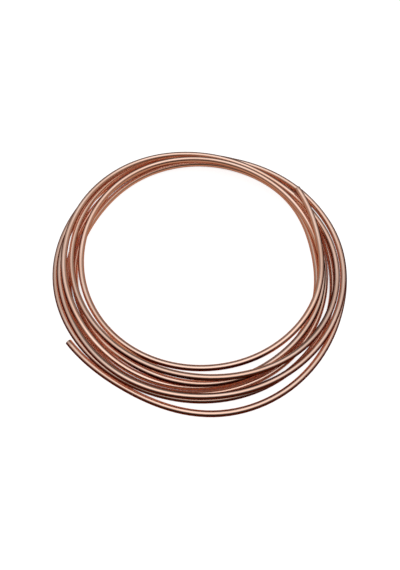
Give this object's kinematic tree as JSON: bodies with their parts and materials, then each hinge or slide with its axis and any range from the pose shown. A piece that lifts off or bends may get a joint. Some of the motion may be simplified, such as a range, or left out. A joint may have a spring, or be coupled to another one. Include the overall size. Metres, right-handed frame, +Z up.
{
  "type": "copper tube coil",
  "caption": "Loose coil of soft round copper tube, lying flat, with both ends cut square and open.",
  "frame": {"origin": "on the floor, under the middle of the coil's bounding box", "axes": "+Z up, through the coil's eye; the turns spread towards -Y and stack towards +Y, where the upper free end lies at +X"},
  "size_m": [0.3092, 0.3104, 0.0279],
  "materials": {
    "copper": "satin bright drawn copper"
  },
  "bodies": {
    "root": {"copper_tube": "copper"}
  },
  "joints": []
}
